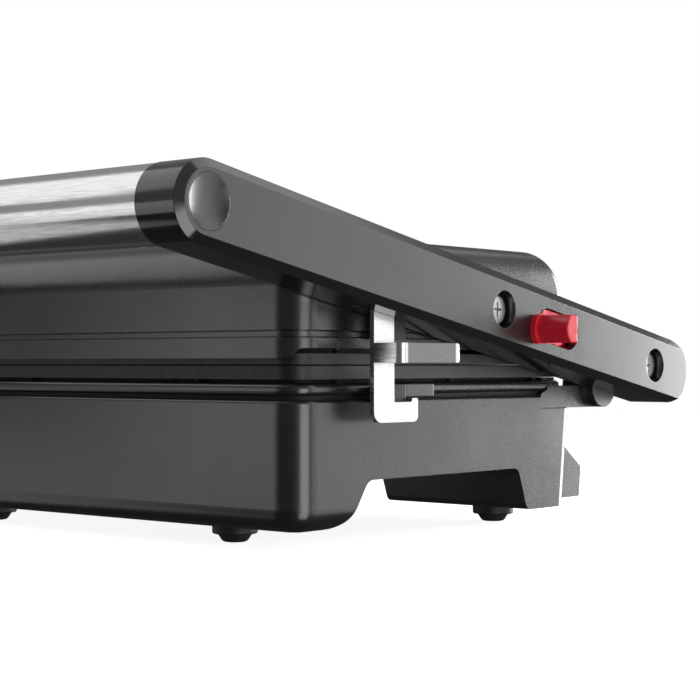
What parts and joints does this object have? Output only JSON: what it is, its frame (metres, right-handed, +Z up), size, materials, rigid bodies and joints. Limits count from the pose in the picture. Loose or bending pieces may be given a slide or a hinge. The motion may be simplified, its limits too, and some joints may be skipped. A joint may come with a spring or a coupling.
{
  "type": "panini press",
  "caption": "Contact grill with a hinged floating lid, side arms, a tubular front handle, a hook latch and a red release lever.",
  "frame": {"origin": "on the table plane under the rubber feet, on the body's symmetry plane at the middle of its depth", "axes": "+Z up, front with the handle towards -Y, the arm with the latch and lever towards +X"},
  "size_m": [0.36, 0.3687, 0.1556],
  "materials": {
    "housing": "satin moulded dark grey",
    "arm": "satin moulded grey",
    "black_plastic": "black moulded",
    "brushed_tube": "brushed along its length",
    "brushed_latch": "brushed sheet",
    "lever_red": "glossy red",
    "nonstick": "cast, dark non-stick coating",
    "foot_rubber": "matt black",
    "seal": "matt black gasket",
    "zinc_screw": "bright zinc plated",
    "bracket_steel": "plain pressed steel",
    "element_sheath": "oxidised steel sheath",
    "reflector": "thin bright sheet",
    "phenolic": "moulded phenolic",
    "lamp_lens": "translucent lens"
  },
  "bodies": {
    "base": {"lower_housing": "housing", "lower_trim": "housing", "lower_grill_plate": "nonstick", "lower_plate_pads": "nonstick", "lower_heating_element": "element_sheath", "lower_heat_reflector": "reflector", "thermostat": "bracket_steel", "terminal_block": "phenolic", "cord_gland": "black_plastic", "rubber_feet": "foot_rubber", "foot_screws": "zinc_screw", "rear_bumpers": "housing", "hinge_bracket_right": "housing", "hinge_bracket_left": "housing", "hinge_pins": "bracket_steel", "latch_catch": "black_plastic", "catch_cover": "arm", "housing_gasket": "seal", "plate_gasket": "seal"},
    "arms": {"arm_right": "arm", "arm_left": "arm", "arm_link_right": "arm", "arm_link_left": "arm", "handle_tube": "brushed_tube", "handle_plugs": "black_plastic", "handle_screws": "zinc_screw", "handle_caps": "arm", "pivot_screws": "zinc_screw", "link_screws": "zinc_screw", "pivot_washers": "black_plastic", "latch_pin": "bracket_steel", "latch_guide": "black_plastic"},
    "lid": {"lid_housing": "housing", "lid_skirt": "housing", "upper_grill_plate": "nonstick", "upper_plate_pads": "nonstick", "upper_heating_element": "element_sheath", "upper_heat_reflector": "reflector", "lid_brackets": "bracket_steel", "lid_lamps": "lamp_lens"},
    "latch": {"latch_hook": "brushed_latch"},
    "lever": {"release_lever": "lever_red", "lever_rod": "bracket_steel"}
  },
  "joints": [
    {"name": "arm_swing", "type": "hinge", "parent": "base", "child": "arms", "pos_m": [0, 0.128, 0.068], "axis": [-1, 0, 0], "range_deg": [0, 176]},
    {"name": "lid_tilt", "type": "hinge", "parent": "arms", "child": "lid", "pos_m": [0, 0.0125, 0.1037], "axis": [-1, 0, 0], "range_deg": [0, 4.01]},
    {"name": "latch_swing", "type": "hinge", "parent": "arms", "child": "latch", "pos_m": [0.15615, -0.058, 0.112], "axis": [-1, 0, 0], "range_deg": [0, 35]},
    {"name": "lever_slide", "type": "slide", "parent": "arms", "child": "lever", "axis": [0, 0.9825, -0.1863], "range_m": [0, 0.0075], "stiffness_N_per_m": 250, "springref_m": -0.004}
  ],
  "couplings": [
    {"joint": "lid_tilt", "follows": "arm_swing", "ratio": 0.022727}
  ]
}
